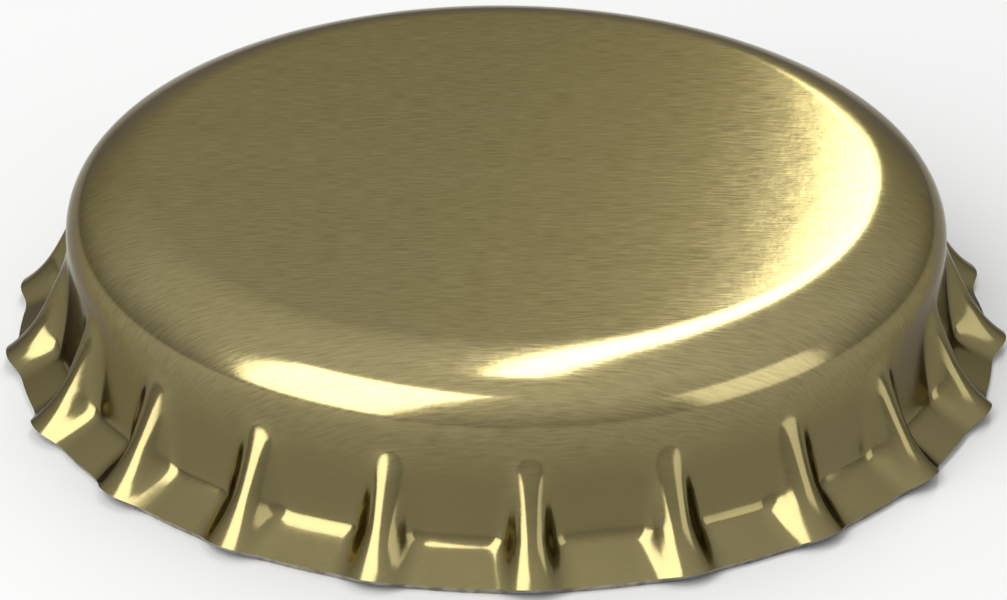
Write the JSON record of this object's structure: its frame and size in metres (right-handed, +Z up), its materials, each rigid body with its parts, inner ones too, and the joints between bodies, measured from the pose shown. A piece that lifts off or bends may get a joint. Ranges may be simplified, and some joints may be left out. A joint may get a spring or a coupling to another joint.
{
  "type": "bottle cap",
  "caption": "Crown cap for a bottle, not yet crimped: a round pressed-metal cap with a flat top, a fluted flaring skirt and a sealing liner inside.",
  "frame": {"origin": "centre of the plane that the rim stands on", "axes": "+Z up along the cap's axis, towards its flat top; one flute's tip lies on +X"},
  "size_m": [0.0317, 0.0318, 0.0063],
  "materials": {
    "shell": "gold-toned lacquer over tinplate with a fine rolled grain",
    "liner": "soft moulded sealing compound, off-white"
  },
  "bodies": {
    "root": {"shell": "shell", "liner": "liner"}
  },
  "joints": []
}
